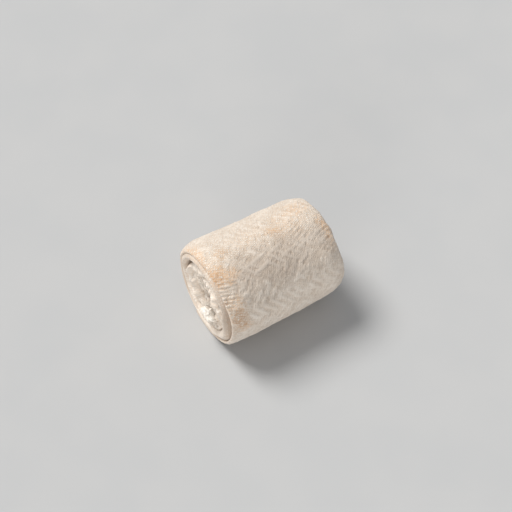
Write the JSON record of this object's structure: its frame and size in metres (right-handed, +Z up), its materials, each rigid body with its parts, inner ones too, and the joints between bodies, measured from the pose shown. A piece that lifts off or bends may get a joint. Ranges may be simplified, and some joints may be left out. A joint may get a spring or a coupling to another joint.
{
  "type": "roll of damask fabric",
  "caption": "Small roll of folded ivory damask cloth lying on its side, wound in a loose spiral with soft rounded folds at both ends.",
  "frame": {"origin": "middle of the box's underside, where the roll rests", "axes": "+X along the roll, from the wider end with the open crescent to the narrower end; +Z up; +Y to the back, away from the side that faces the picture's viewer"},
  "size_m": [0.0288, 0.0226, 0.0224],
  "materials": {
    "linen_damask": "matt ivory linen with a low satin figure, stained peach in places"
  },
  "bodies": {
    "root": {"damask_roll": "linen_damask"}
  },
  "joints": []
}
